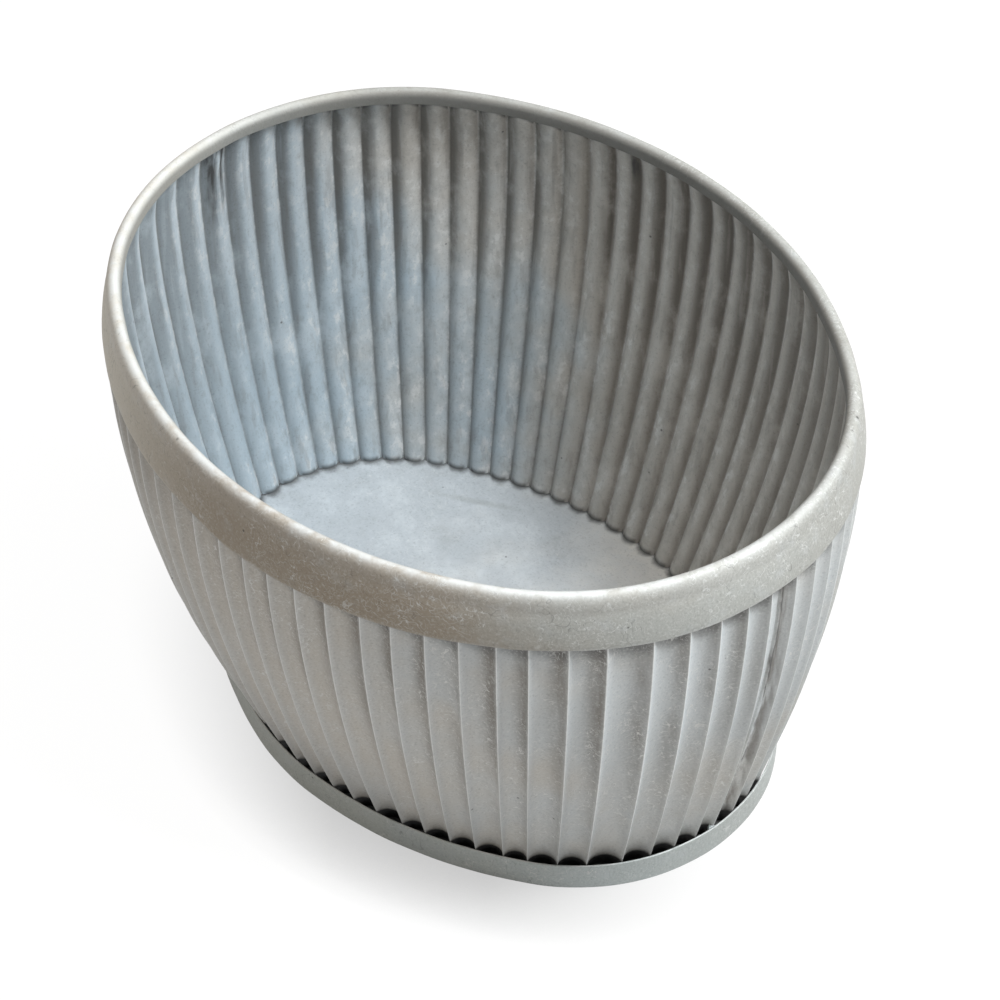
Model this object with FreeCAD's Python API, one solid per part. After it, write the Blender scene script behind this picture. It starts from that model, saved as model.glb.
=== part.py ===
"""Oval zinc planter: two fluted half sheets between a folded rim band and a plain foot band.

Millimetres, +Z up, origin at the centre of the foot on the ground, +X along the oval's length.
The sheets meet in lap seams near the two ends of the length, each seam down the middle of a flute.
"""

import math
import os

import FreeCAD
import Part

# Overall oval, measured on the outer faces of the bead and the foot band
RIM_HALF_LENGTH = 260.0
RIM_HALF_WIDTH = 210.0
FOOT_HALF_LENGTH = 226.5
FOOT_HALF_WIDTH = 163.0
TUB_HEIGHT = 301.0
OVAL_FULLNESS = 0.6         # roundness of the ends; 1 is the tightest, 0 makes the sides flat

# Bands and floor
BAND_DROP = 41.0            # outer leg of the rim band, from the top of the bead
BAND_FLARE = 5.5            # how far the outer leg leans outwards at its lower edge
LIP_DROP = 10.0             # inner leg of the rim band, from the top of the bead
BEAD_BEND_COUNT = 4         # straight bends over the round of the bead
FOOT_HEIGHT = 20.0
FLOOR_LEVEL = 6.0           # upper face of the floor plate

# Fluted wall
FRONT_RIDGE_COUNT = 34
BACK_RIDGE_COUNT = 37
SEAM_OFFSET = 10.5          # the right seam's place along the widest oval, from the +X end
FLUTE_DEPTH = 5.4           # at the rim; the flutes deepen as the wall is gathered towards the foot
STEEPEST_FLANK = math.radians(84.0)
BELLY_POWER = 1.75          # 1 is a straight taper; more keeps the wall upright for longer
FLUTE_BEND_COUNT = 6        # straight bends across each flute, an even number
BELLY_RUN_COUNT = 3         # straight runs of the belly from the floor to the rim band
LAP_JOG = 1.6               # width of the crank where a lapping sheet steps outwards

# Sheet thicknesses and the clearance between pieces that sit together
WALL_SHEET = 0.8
BAND_SHEET = 0.8
FOOT_SHEET = 1.2
FLOOR_SHEET = 1.0
SEAT_GAP = 0.3
LIP_GAP = 0.7               # wider, because the ribs bow inwards between their ridges

# Solder at the foot of the flute beside each seam
SOLDER_REACH = 5.0          # along the foot band
SOLDER_HEIGHT = 4.0

# Derived places
RIDGE_TOP = (RIM_HALF_LENGTH - BAND_SHEET - SEAT_GAP, RIM_HALF_WIDTH - BAND_SHEET - SEAT_GAP)
RIDGE_FOOT = (FOOT_HALF_LENGTH - FOOT_SHEET - SEAT_GAP, FOOT_HALF_WIDTH - FOOT_SHEET - SEAT_GAP)
WALL_DEPTH = FLUTE_DEPTH + WALL_SHEET
BEAD_RADIUS = (WALL_DEPTH + SEAT_GAP + LIP_GAP) / 2 + BAND_SHEET
WALL_TOP = TUB_HEIGHT - BEAD_RADIUS
BAND_EDGE = TUB_HEIGHT - BAND_DROP
BELLY_RISE = (BAND_EDGE - FLOOR_LEVEL) / BELLY_RUN_COUNT
LEFT_SEAM = BACK_RIDGE_COUNT - 1
RIGHT_SEAM = -1
UP = FreeCAD.Vector(0, 0, 1)


class Oval:
    """Four-centre oval about the Z axis at height z."""

    def __init__(self, half_axes, z=0.0):
        length, width = half_axes
        self.z = z
        self.end_radius = width * (width / length) ** OVAL_FULLNESS
        spread = length ** 2 + width ** 2 - 2 * length * self.end_radius
        self.side_radius = spread / (2 * (width - self.end_radius))
        self.end_centre = length - self.end_radius
        self.side_centre = self.side_radius - width
        self.meeting = math.atan2(self.side_centre, self.end_centre)

    def stretches(self):
        """Centre, radius, start and end angle of each arc, anticlockwise from the middle of the +X end."""
        turn = self.meeting
        right = FreeCAD.Vector(self.end_centre, 0, self.z)
        back = FreeCAD.Vector(0, -self.side_centre, self.z)
        return [
            (right, self.end_radius, 0, turn),
            (back, self.side_radius, turn, math.pi - turn),
            (-right + 2 * self.z * UP, self.end_radius, math.pi - turn, math.pi + turn),
            (-back + 2 * self.z * UP, self.side_radius, math.pi + turn, 2 * math.pi - turn),
            (right, self.end_radius, 2 * math.pi - turn, 2 * math.pi),
        ]

    def half_round(self):
        """Length of half the oval."""
        return 2 * self.end_radius * self.meeting + self.side_radius * (math.pi - 2 * self.meeting)

    def point(self, run):
        """Point a distance along the oval, anticlockwise from the middle of the +X end."""
        run %= 2 * self.half_round()
        for centre, radius, start, end in self.stretches():
            if run <= radius * (end - start):
                break
            run -= radius * (end - start)
        return centre + radius * heading(start + run / radius)

    def wire(self):
        arcs = []
        for centre, radius, start, end in self.stretches():
            points = [centre + radius * heading(t) for t in (start, (start + end) / 2, end)]
            arcs.append(Part.Arc(*points).toShape())
        return Part.Wire(arcs)

    def carry_round(self, corners):
        """Solid of a closed outline, in the XZ plane with X outwards from the oval, taken round it."""
        profile = Part.Face(Part.makePolygon(corners))
        solids = []
        for centre, radius, start, end in self.stretches():
            piece = profile.copy()
            piece.translate(FreeCAD.Vector(radius, 0, 0))
            piece.rotate(FreeCAD.Vector(), UP, math.degrees(start))
            piece.translate(centre)
            solids.append(piece.revolve(centre, UP, math.degrees(end - start)))
        return solids[0].multiFuse(solids[1:]).removeSplitter()


class Flute:
    """One circular flute between two ridge tips, hollow outwards."""

    def __init__(self, start, end, sheet_width=None):
        chord = end - start
        self.along = FreeCAD.Vector(chord).normalize()
        self.inward = UP.cross(self.along)
        if sheet_width is None:
            self.angle = 2 * math.atan(2 * FLUTE_DEPTH / chord.Length)
        else:
            self.angle = flank_angle(sheet_width / chord.Length)
        self.radius = chord.Length / 2 / math.sin(self.angle)
        self.sheet_width = 2 * self.radius * self.angle
        self.centre = (start + end) * 0.5 - self.inward * (self.radius * math.cos(self.angle))

    def point(self, angle, offset=0.0):
        """Point at an angle from the bottom of the flute, offset inwards from the outer face."""
        reach = self.radius + offset
        return self.centre + reach * math.cos(angle) * self.inward + reach * math.sin(angle) * self.along

    def bends(self, count, start, end, offset=0.0):
        """A count of flats along the flute from one angle to another."""
        points = [self.point(start + (end - start) * k / count, offset) for k in range(count + 1)]
        return join(points)

    def turn(self, length):
        """Angle that a length of the outer face takes up."""
        return length / self.radius

    def groove_angle(self, other):
        """Angle at which this flute's inner face meets that of a neighbour."""
        mine, theirs = self.radius + WALL_SHEET, other.radius + WALL_SHEET
        apart = other.centre - self.centre
        reach = (mine ** 2 - theirs ** 2 + apart.Length ** 2) / (2 * apart.Length)
        towards = math.atan2(apart.dot(self.along), apart.dot(self.inward))
        return towards - math.copysign(math.acos(reach / mine), towards)


def heading(angle):
    return FreeCAD.Vector(math.cos(angle), math.sin(angle), 0)


def join(points):
    """Straight edges from each point to the next."""
    return [Part.makeLine(first, last) for first, last in zip(points, points[1:])]


def flank_angle(fullness):
    """Half angle of an arc whose length is fullness times its chord, held below the steepest flank."""
    low, high = 0.0, STEEPEST_FLANK
    for _ in range(50):
        middle = (low + high) / 2
        if middle < fullness * math.sin(middle):
            low = middle
        else:
            high = middle
    return low


def ridge_axes(z):
    """Half-axes of the oval that the ridges touch at height z, widest at the rim band's lower edge."""
    lean = BAND_FLARE * min((WALL_TOP - z) / (WALL_TOP - BAND_EDGE), 1.0)
    gather = (max(BAND_EDGE - z, 0.0) / (BAND_EDGE - FOOT_HEIGHT)) ** BELLY_POWER
    return tuple(top + lean - (top + lean - foot) * gather for top, foot in zip(RIDGE_TOP, RIDGE_FOOT))


def seam_share():
    """Share of half the round at which the right seam stands, the same at every height."""
    return SEAM_OFFSET / Oval(ridge_axes(BAND_EDGE)).half_round()


def flutes_at(z, widths=None):
    """All flutes at height z: the back sheet's, then the front sheet's, each ending with a seam's flute."""
    oval = Oval(ridge_axes(z), z)
    half = oval.half_round()
    seam = half * seam_share()
    back_pitch, front_pitch = (half - seam) / BACK_RIDGE_COUNT, (half + seam) / FRONT_RIDGE_COUNT
    tips = [oval.point(seam + back_pitch * (k + 0.5)) for k in range(BACK_RIDGE_COUNT)]
    tips += [oval.point(half + front_pitch * (k + 0.5)) for k in range(FRONT_RIDGE_COUNT)]
    ends = tips[1:] + tips[:1]
    if widths is None:
        return [Flute(start, end) for start, end in zip(tips, ends)]
    return [Flute(start, end, width) for start, end, width in zip(tips, ends, widths)]


def fitted_flutes(z):
    """All flutes at height z, each as wide in metal as it is at the rim."""
    return flutes_at(z, [flute.sheet_width for flute in flutes_at(WALL_TOP)])


def grooves(flutes, k):
    """Angles of the two grooves that bound the inner face of flute k."""
    after = flutes[(k + 1) % len(flutes)]
    return flutes[k].groove_angle(flutes[k - 1]), flutes[k].groove_angle(after)


def whole_flutes(flutes, which):
    """Outer and inner faces of complete flutes."""
    edges = []
    for k in which:
        edges += flutes[k].bends(FLUTE_BEND_COUNT, -flutes[k].angle, flutes[k].angle)
        edges += flutes[k].bends(FLUTE_BEND_COUNT, *grooves(flutes, k), WALL_SHEET)
    return edges


def half_flute(flutes, k, side, margin):
    """Outer and inner faces of flute k from a margin beyond its middle to the ridge on the given side."""
    flute = flutes[k]
    start = side * flute.turn(margin)
    groove = max(grooves(flutes, k), key=lambda angle: side * angle)
    outer = flute.bends(FLUTE_BEND_COUNT // 2, start, side * flute.angle)
    return outer + flute.bends(FLUTE_BEND_COUNT // 2, start, groove, WALL_SHEET)


def plain_end(flute, side, margin):
    """Cut edge of a sheet, a margin beyond the middle of a flute."""
    angle = side * flute.turn(margin)
    return [Part.makeLine(flute.point(angle), flute.point(angle, WALL_SHEET))]


def lap_end(flute, side):
    """Tongue, one flat wide, over the other sheet, which is on the given side of the flute's middle."""
    tip, jog = side * flute.angle * 2 / FLUTE_BEND_COUNT, -side * flute.turn(LAP_JOG)
    under, over = -SEAT_GAP, -SEAT_GAP - WALL_SHEET
    corners = [
        flute.point(jog), flute.point(0, over), flute.point(tip, over),
        flute.point(tip, under), flute.point(0, under), flute.point(jog, WALL_SHEET),
    ]
    return join(corners)


def back_section(flutes):
    """Closed outline of the back sheet, cut plainly at both seams."""
    edges = whole_flutes(flutes, range(LEFT_SEAM))
    for seam, side in ((RIGHT_SEAM, 1), (LEFT_SEAM, -1)):
        edges += half_flute(flutes, seam, side, SEAT_GAP) + plain_end(flutes[seam], side, SEAT_GAP)
    return Part.Wire(Part.__sortEdges__(edges))


def front_section(flutes):
    """Closed outline of the front sheet, which laps over the back sheet at both seams."""
    edges = whole_flutes(flutes, range(LEFT_SEAM + 1, len(flutes) - 1))
    for seam, side in ((RIGHT_SEAM, -1), (LEFT_SEAM, 1)):
        edges += half_flute(flutes, seam, side, LAP_JOG) + lap_end(flutes[seam], -side)
    return Part.Wire(Part.__sortEdges__(edges))


def wall_sheet(section):
    """Fluted sheet from the floor to the rim; each flute keeps its width of metal all the way down."""
    levels = [FLOOR_LEVEL + BELLY_RISE * i for i in range(BELLY_RUN_COUNT + 1)] + [WALL_TOP]
    return Part.makeLoft([section(fitted_flutes(z)) for z in levels], True, True)


def rim_band():
    """Folded capping strip: a long outer leg that leans with the wall, a round bead and a short lip."""
    hollow = BEAD_RADIUS - BAND_SHEET
    middle = SEAT_GAP - hollow
    lip_edge = TUB_HEIGHT - LIP_DROP
    turns = [math.pi * k / BEAD_BEND_COUNT for k in range(BEAD_BEND_COUNT + 1)]
    outline = [(BEAD_RADIUS * math.cos(turn), WALL_TOP + BEAD_RADIUS * math.sin(turn)) for turn in turns]
    outline += [
        (-BEAD_RADIUS, lip_edge),
        (-hollow, lip_edge),
        (-hollow, WALL_TOP + SEAT_GAP),
        (hollow, WALL_TOP + SEAT_GAP),
        (hollow + BAND_FLARE, BAND_EDGE),
        (BEAD_RADIUS + BAND_FLARE, BAND_EDGE),
        (BEAD_RADIUS, WALL_TOP),
    ]
    return Oval(RIDGE_TOP).carry_round([FreeCAD.Vector(middle + x, 0, z) for x, z in outline])


def foot_band():
    """Plain upright strip, which the ridge tips meet at its upper edge."""
    corners = [FreeCAD.Vector(x, 0, z) for x, z in (
        (0, 0), (-FOOT_SHEET, 0), (-FOOT_SHEET, FOOT_HEIGHT), (0, FOOT_HEIGHT), (0, 0))]
    return Oval((FOOT_HALF_LENGTH, FOOT_HALF_WIDTH)).carry_round(corners)


def floor_plate():
    """Oval plate on which both sheets stand."""
    outline = Oval(ridge_axes(FLOOR_LEVEL), FLOOR_LEVEL).wire()
    return Part.Face(outline).extrude(-FLOOR_SHEET * UP)


def seam_solder(index, side):
    """Web of solder in the corner between the foot band and the ridge on one side of a flute."""
    rings = []
    for z in (FOOT_HEIGHT - SOLDER_HEIGHT, FOOT_HEIGHT):
        flute = fitted_flutes(z)[index]
        shares = (1, 1 - 2 / FLUTE_BEND_COUNT)
        ridge, flank = [flute.point(side * share * flute.angle, -SEAT_GAP) for share in shares]
        rings.append(Part.makePolygon([ridge, flank, ridge - side * SOLDER_REACH * flute.along, ridge]))
    return Part.makeLoft(rings, True, True)


def build():
    return {
        "front_wall_sheet": wall_sheet(front_section),
        "back_wall_sheet": wall_sheet(back_section),
        "rim_band": rim_band(),
        "foot_band": foot_band(),
        "floor_plate": floor_plate(),
        "right_seam_solder": seam_solder(RIGHT_SEAM - 1, 1),
        "left_seam_solder": seam_solder(LEFT_SEAM + 1, -1),
    }


os.makedirs("parts", exist_ok=True)
for name, shape in build().items():
    shape.exportStep("parts/" + name + ".step")
    print(name, "volume", round(shape.Volume, 1), "valid", shape.isValid())
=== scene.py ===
"""Looks of the oval zinc planter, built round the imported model. Metres, +Z up, +X along the oval."""

import math

import bpy
import numpy as np
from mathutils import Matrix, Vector

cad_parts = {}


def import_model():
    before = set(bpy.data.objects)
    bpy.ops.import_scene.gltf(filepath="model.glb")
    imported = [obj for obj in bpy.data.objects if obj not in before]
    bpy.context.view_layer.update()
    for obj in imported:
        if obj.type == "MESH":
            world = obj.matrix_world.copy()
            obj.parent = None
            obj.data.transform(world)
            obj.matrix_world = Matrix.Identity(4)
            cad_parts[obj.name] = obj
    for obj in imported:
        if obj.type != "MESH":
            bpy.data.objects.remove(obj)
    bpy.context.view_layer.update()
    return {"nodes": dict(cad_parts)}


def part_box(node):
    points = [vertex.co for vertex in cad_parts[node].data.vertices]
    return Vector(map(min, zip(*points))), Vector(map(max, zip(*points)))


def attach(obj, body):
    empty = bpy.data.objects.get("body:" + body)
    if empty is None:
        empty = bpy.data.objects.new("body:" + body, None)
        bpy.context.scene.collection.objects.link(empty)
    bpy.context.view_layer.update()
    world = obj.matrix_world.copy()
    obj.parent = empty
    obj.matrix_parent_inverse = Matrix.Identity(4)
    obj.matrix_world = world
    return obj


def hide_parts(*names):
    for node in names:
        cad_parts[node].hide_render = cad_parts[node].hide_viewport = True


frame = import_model()

MM = 0.001
SEED = 7

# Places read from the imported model
RIM_LOW, RIM_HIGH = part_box("rim_band")
FOOT_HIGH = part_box("foot_band")[1]
FLOOR_LOW, FLOOR_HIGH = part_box("floor_plate")
TUB_HEIGHT = RIM_HIGH.z
BAND_EDGE = RIM_LOW.z
FOOT_HEIGHT = FOOT_HIGH.z
FLOOR_LEVEL = FLOOR_HIGH.z
FLOOR_UNDER = FLOOR_LOW.z
FOOT_AXES = (FOOT_HIGH.x, FOOT_HIGH.y)

# Sheet metal
OVAL_FULLNESS = 0.6
OVAL_STEPS = 2001
BAND_FLARE = 5.5 * MM
WALL_SHEET = 0.8 * MM
BAND_SHEET = 0.8 * MM
FOOT_SHEET = 1.2 * MM
SEAT_GAP = 0.3 * MM
LIP_GAP = 0.7 * MM
LIP_DROP = 10.0 * MM
SHARP_EDGE = math.radians(40.0)

# Fluted wall
FRONT_RIDGES = 34
BACK_RIDGES = 37
SEAM_OFFSET = 10.5 * MM
FLUTE_DEPTH = 5.4 * MM
STEEPEST_FLANK = math.radians(84.0)
FLANK_HALVINGS = 50
BELLY_POWER = 1.75
LEAN_POWER = 1.6
WALL_LEVELS = 57
FLUTE_SAMPLES = 11
RIDGE_ROUND = 0.9 * MM
GROOVE_ROUND = 2.4 * MM
EDGE_STEPS = (0.15, 0.5, 0.85)
EDGE_WEAR = 0.25
FAR_FROM_SEAM = 1.0
# How far each front ridge is from even spacing, in millimetres, from the right seam onwards
RIDGE_SHIFTS = (-1.0, 3.0, 5.5, 7.0, 6.0, 0.0, -0.5, -2.0, 1.0, 0.5, 1.5,
                2.0, 4.0, 2.0, 2.0, 3.0, 5.0, 6.0, 3.0, 2.0, 1.0)

# Lap of the front sheet over the back one, with a rough cut edge
LAP_WIDTH = 3.0 * MM
LAP_STEPS = (0.35, 0.7, 1.0)
LAP_ROUGHNESS = 0.22
LAP_WAVES = (2, 3, 5, 9, 14)
LAP_SEED = 40

# Where and how far the foot is pushed inwards
PUSH_HEADING = math.radians(232.0)
PUSH_SPREAD = math.radians(42.0)
PUSH_DEPTH = 11.0 * MM
PUSH_TOP = 120.0 * MM

# Folded rim: the soft shoulder outside the crest, and the rows of each stretch of its profile
SHOULDER_DROP = 13.0 * MM
SHOULDER_POWER = 0.9
CREST_INSET = 4.2 * MM
CREST_WEAR_POWER = 6
LEG_EDGE_WEAR = 0.3
LEG_ROWS = 14
SHOULDER_ROWS = 13
BEAD_ROWS = 7
LIP_ROWS = 4
BEHIND_ROWS = 9
RIM_COLUMNS = 1440

# Waves round the rim: the orders of each, and how far it goes
SHOULDER_WAVES = (7, 11, 16, 23, 31, 44)
SHOULDER_DENT = 0.9 * MM
SHOULDER_MIDDLE = 0.78
SHOULDER_SPAN = 0.16
CREST_WAVES = (3, 5, 8, 13, 19)
CREST_DIP = 0.7 * MM
LEG_WAVES = (9, 14, 22, 37)
LEG_DENT = 0.5 * MM
# How far the band's lower edge hangs too low, in millimetres, at fractions of the way round
EDGE_DROPS = ((0.735, 0.0), (0.755, 3.8), (0.80, 3.6), (0.85, 2.1), (0.87, 0.2), (0.91, -2.1),
              (0.95, -0.9), (1.0, -2.0), (1.03, 0.0))

# Foot ring
FOOT_COLUMNS = 720
FOOT_ROWS = 8
FOOT_OUTER_ROUND = 0.3 * MM
FOOT_INNER_ROUND = 0.2 * MM
FOOT_WAVES = (5, 9, 14, 21, 33)
FOOT_DENT = 0.5 * MM

# Floor: rings as shares of the way out to the ribs, a shallow unevenness, and where the dirt and
# painted shade start
FLOOR_RINGS = (*np.linspace(0.04, 0.9, 14), 0.93, 0.955, 0.975, 0.988, 1.0)
FLOOR_SAG = 0.35 * MM
FLOOR_SAG_WAVES = ((31, 1.2), (37, 0.4))
DIRT_AND_SHADE_START = 0.93

# Derived places
RIDGE_TOP = tuple(axis - BAND_FLARE - BAND_SHEET - SEAT_GAP for axis in (RIM_HIGH.x, RIM_HIGH.y))
RIDGE_FOOT = tuple(axis - FOOT_SHEET - SEAT_GAP for axis in FOOT_AXES)
BEAD_RADIUS = (FLUTE_DEPTH + WALL_SHEET + SEAT_GAP + LIP_GAP) / 2 + BAND_SHEET
WALL_TOP = TUB_HEIGHT - BEAD_RADIUS
LIP_EDGE = TUB_HEIGHT - LIP_DROP
LEFT_SEAM = BACK_RIDGES - 1
FLUTE_COUNT = BACK_RIDGES + FRONT_RIDGES
RIGHT_SEAM = FLUTE_COUNT - 1

# Colours of the zinc, of what lies on it, and of the painted light and shade
PALE_SCRATCH = (0.72, 0.71, 0.68)
# Dark grime, also used for painted shade and shadow
GRIME_AND_SHADE = (0.06, 0.058, 0.055)
STAIN = (0.16, 0.14, 0.12)
# Black of the painted shadow in the pockets behind the foot ring
POCKET_SHADOW = (0.006, 0.006, 0.006)
BLOOM = (0.62, 0.64, 0.65)
WARM_BLOOM = (0.64, 0.60, 0.55)
OUTER_COOL = (0.585, 0.60, 0.595)
OUTER_WARM = (0.605, 0.565, 0.505)
OUTER_BROWN = (0.40, 0.35, 0.29)
# Dark brown of a stain in the hollows, also used for painted shade
OUTER_HOLLOW = (0.22, 0.195, 0.165)
RIDGE_METAL = (0.88, 0.88, 0.86)
INNER_COOL = (0.45, 0.52, 0.565)
INNER_WARM = (0.50, 0.46, 0.41)
# Dark of the grooves' dirt, also used for painted shade on the rib flanks
INNER_GROOVE_DIRT_AND_SHADE = (0.12, 0.104, 0.088)
INNER_BLOOM = (0.59, 0.64, 0.67)
PALE_MOTTLE = (0.82, 0.80, 0.77)
BAND_COOL = (0.46, 0.455, 0.42)
BAND_WARM = (0.39, 0.325, 0.25)
BAND_PALE = (0.67, 0.62, 0.53)
# Pale of the worn crest, with a painted highlight
CREST_WEAR_AND_HIGHLIGHT = (0.74, 0.74, 0.72)
LIP_SHADE = (0.17, 0.17, 0.16)
LIP_BROWN = (0.22, 0.19, 0.155)
FOOT_COOL = (0.49, 0.52, 0.505)
FOOT_WARM = (0.55, 0.565, 0.52)
# Floor colours: the warm one is lighter, as painted light in the rim's shadow
FLOOR_COOL = (0.455, 0.475, 0.49)
FLOOR_WARM = (0.77, 0.745, 0.70)
SOLDER_GREEN = (0.44, 0.50, 0.46)

# Single marks: their places, with their radii and strengths where they differ
INNER_STAINS = (((-0.257, 0.001, 0.262), (0.025, 0.013, 0.07), 1.3),
                ((-0.0672, 0.2003, 0.272), (0.0035, 0.008, 0.022), 0.9))
WALL_PITS = ((0.2406, -0.0297, 0.097), (0.2614, 0.027, 0.2551))
RIM_PITS = ((0.2322, 0.0912, 0.299), (0.2244, 0.1036, 0.299), (0.2177, 0.1149, 0.299),
            (-0.0472, -0.2038, 0.299), (0.2363, -0.1010, 0.2769))
PIT_RADII = (0.0017, 0.0017, 0.0024)
FLOOR_SMEARS = (((-0.109, 0.098, FLOOR_LEVEL), (0.042, 0.004, 0.01)),
                ((-0.1113, 0.1201, FLOOR_LEVEL), (0.004, 0.002, 0.01)))
SMEAR_TURN = math.radians(32.0)

# Masks run from 0 at the first value to 1 at the second: up the height, along X or Y, or off a seam
WALL_UPPER = (0.05, 0.26)
WALL_BRIGHT = (0.08, 0.24)
WALL_LOWER = (0.17, 0.03)
SHADED_UPPER = (BAND_EDGE - 75 * MM, BAND_EDGE)
UNDER_BAND = (BAND_EDGE - FLUTE_DEPTH - 12 * MM, BAND_EDGE - FLUTE_DEPTH + 2 * MM)
UNDER_LIP = (LIP_EDGE - 5 * MM, LIP_EDGE - 1 * MM)
FLOOR_DIRT_AND_SHADE = (FLOOR_LEVEL + 4 * MM, FLOOR_LEVEL)
FOOT_POCKET = (FOOT_HEIGHT + 1 * MM, FOOT_HEIGHT - 2.5 * MM)
SHOULDER_PALE = (TUB_HEIGHT - 26 * MM, TUB_HEIGHT)
OUTER_COOL_END = (0.05, 0.27)
OUTER_BROWN_END = (0.22, -0.1)
LEFT_END = (0.02, -0.16)
FRONT_HOLLOWS = (0.08, -0.1)
FRONT_SIDE = (0.1, -0.05)
FRONT_CREST = (0.1, -0.1)
FEW_SCRATCHES_WALL = (-0.14, 0.06)
FEW_SCRATCHES_BAND = (-0.14, 0.05)
BACK_OF_BANDS = (-0.03, 0.12)
BANDS_COOL = (-0.17, 0.0)
FLOOR_WARM_END = (-0.06, 0.2)
INNER_WARM_END = (-0.1, 0.13)
INNER_TURN = (0.03, 0.13)
INNER_LEFT = (0.1, -0.04)
INNER_RIGHT = (0.0, 0.18)
EDGEWISE_X = (0.1, 0.2)
EDGEWISE_Y = (0.0, 0.05)
LOW_BACK_X = (0.05, -0.05)
LOW_BACK_Y = (0.04, 0.14)
SEAM_STAIN = (0.014, 0.002)
SEAM_STAIN_FRONT = (-0.005, 0.0)
SEAM_LINE = (0.0016, 0.0004)

# Steps from one seed to the next, depths of the relief, turns of the bands' tints towards +X, and the
# spread of the roughness
NOISE_STEP = (1.37, 2.11, 0.73)
SPECK_STEP = (0.91, 1.7, 0.4)
FINE_RELIEF = 0.25 * MM
BAND_RELIEF = 0.3 * MM
BAND_TURN = 0.35
RIM_BACK_TURN = 0.1
FOOT_BACK_TURN = 0.35
STAIN_TOP = 0.2
ROUGH_GRAIN = (0.3, 0.7)
ROUGH_SPREAD = 0.07
BUMP_STRENGTH = 0.6

# Studio: floor, contact shade under the foot, fill and lamps
FLOOR_SIDE = 12
FLOOR_WHITE = (0.45, 0.45, 0.45)
FLOOR_SEEN = (0.07, 0.068, 0.065)
FLOOR_GLOW = 0.97
CONTACT_REACH = 0.06
CONTACT_LEAN = (-0.42, 0.82, 0.35)
# The shade is deepest at a place along a line on the floor, and fainter to both sides of it
CONTACT_LINE = (0.675, 0.738, 0.0)
CONTACT_CENTRE = -0.045
CONTACT_FADE = {"From Min": 0.05, "From Max": 0.21, "To Min": 0.36, "To Max": 0.9}
FILL_COLOUR = (1.0, 0.955, 0.9)
FILL_STRENGTH = 0.22
LAMP_TARGET = (0, 0, 0.2)
# Each lamp's name, place, size, power and colour
LAMPS = (("key", (1.59, 0.85, 3.08), 0.80, 123, (0.88, 0.95, 1.0)),
         ("side", (1.71, 2.74, 1.25), 1.20, 43, (0.93, 0.97, 1.0)),
         ("top", (0.03, 0.03, 2.80), 2.00, 20, (0.96, 0.98, 1.0)))

# Camera, from the photograph's perspective
CAMERA_AZIMUTH = math.radians(47.556)
CAMERA_ELEVATION = math.radians(44.0)
CAMERA_DISTANCE = 2.86
CAMERA_TARGET = (0.02, 0.0, 0.16334)
CAMERA_LENS = 160.04
CAMERA_SENSOR = 36.0


def oval_place(axes, fraction):
    """Place and outward heading at a fraction of the way round a four-centre oval, from its +X end."""
    length, width = axes
    end_radius = width * (width / length) ** OVAL_FULLNESS
    side_radius = (length ** 2 + width ** 2 - 2 * length * end_radius) / (2 * (width - end_radius))
    end_centre, side_centre = length - end_radius, side_radius - width
    meeting = np.arctan2(side_centre, end_centre)
    end_run = end_radius * meeting
    quarter_run = end_run + side_radius * (math.pi / 2 - meeting)
    quarters = np.mod(fraction, 1.0) * 4
    quarter = np.floor(quarters)
    within = quarters - quarter
    run = np.where(quarter % 2 == 0, within, 1 - within) * quarter_run
    on_end = run < end_run
    angle = np.where(on_end, run / end_radius, meeting + (run - end_run) / side_radius)
    radius = np.where(on_end, end_radius, side_radius)
    x = np.where(on_end, end_centre, 0) + radius * np.cos(angle)
    y = np.where(on_end, 0, -side_centre) + radius * np.sin(angle)
    sign_x = np.where((quarter == 0) | (quarter == 3), 1, -1)
    sign_y = np.where(quarter < 2, 1, -1)
    place = np.stack([x * sign_x, y * sign_y], axis=-1)
    heading = np.stack([np.cos(angle) * sign_x, np.sin(angle) * sign_y], axis=-1)
    return place, heading


def oval_round(axes):
    """Length of the whole oval."""
    place, _ = oval_place(axes, np.linspace(0, 1, OVAL_STEPS))
    return np.linalg.norm(np.diff(place, axis=0), axis=1).sum()


def lean_at(z):
    """How far the wall and the rim band stand outside their top edge at height z."""
    share = np.clip((WALL_TOP - z) / (WALL_TOP - BAND_EDGE), 0, 1)
    return BAND_FLARE * (1 - (1 - share) ** LEAN_POWER)


def ridge_axes(z):
    """Half-axes of the oval that the ridges touch at height z, widest at the rim band's lower edge."""
    gather = (np.maximum(BAND_EDGE - z, 0) / (BAND_EDGE - FOOT_HEIGHT)) ** BELLY_POWER
    lean = lean_at(z)
    return tuple(top + lean - (top + lean - foot) * gather for top, foot in zip(RIDGE_TOP, RIDGE_FOOT))


def flank_angle(fullness):
    """Half angle of an arc whose length is fullness times its chord, held below the steepest flank."""
    low, high = np.zeros_like(fullness), np.full_like(fullness, STEEPEST_FLANK)
    for _ in range(FLANK_HALVINGS):
        middle = (low + high) / 2
        shallow = middle < fullness * np.sin(middle)
        low, high = np.where(shallow, middle, low), np.where(shallow, high, middle)
    return low


def wave(fraction, orders, seed):
    """Closed wave round the oval, within -1 to 1, from a few seeded orders."""
    rng = np.random.default_rng(SEED + seed)
    phases = rng.uniform(0, 2 * math.pi, len(orders))
    sizes = rng.uniform(0.5, 1.0, len(orders))
    parts = [s * np.cos(2 * math.pi * n * fraction + p) for n, s, p in zip(orders, sizes, phases)]
    return sum(parts) / sizes.sum()


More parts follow.
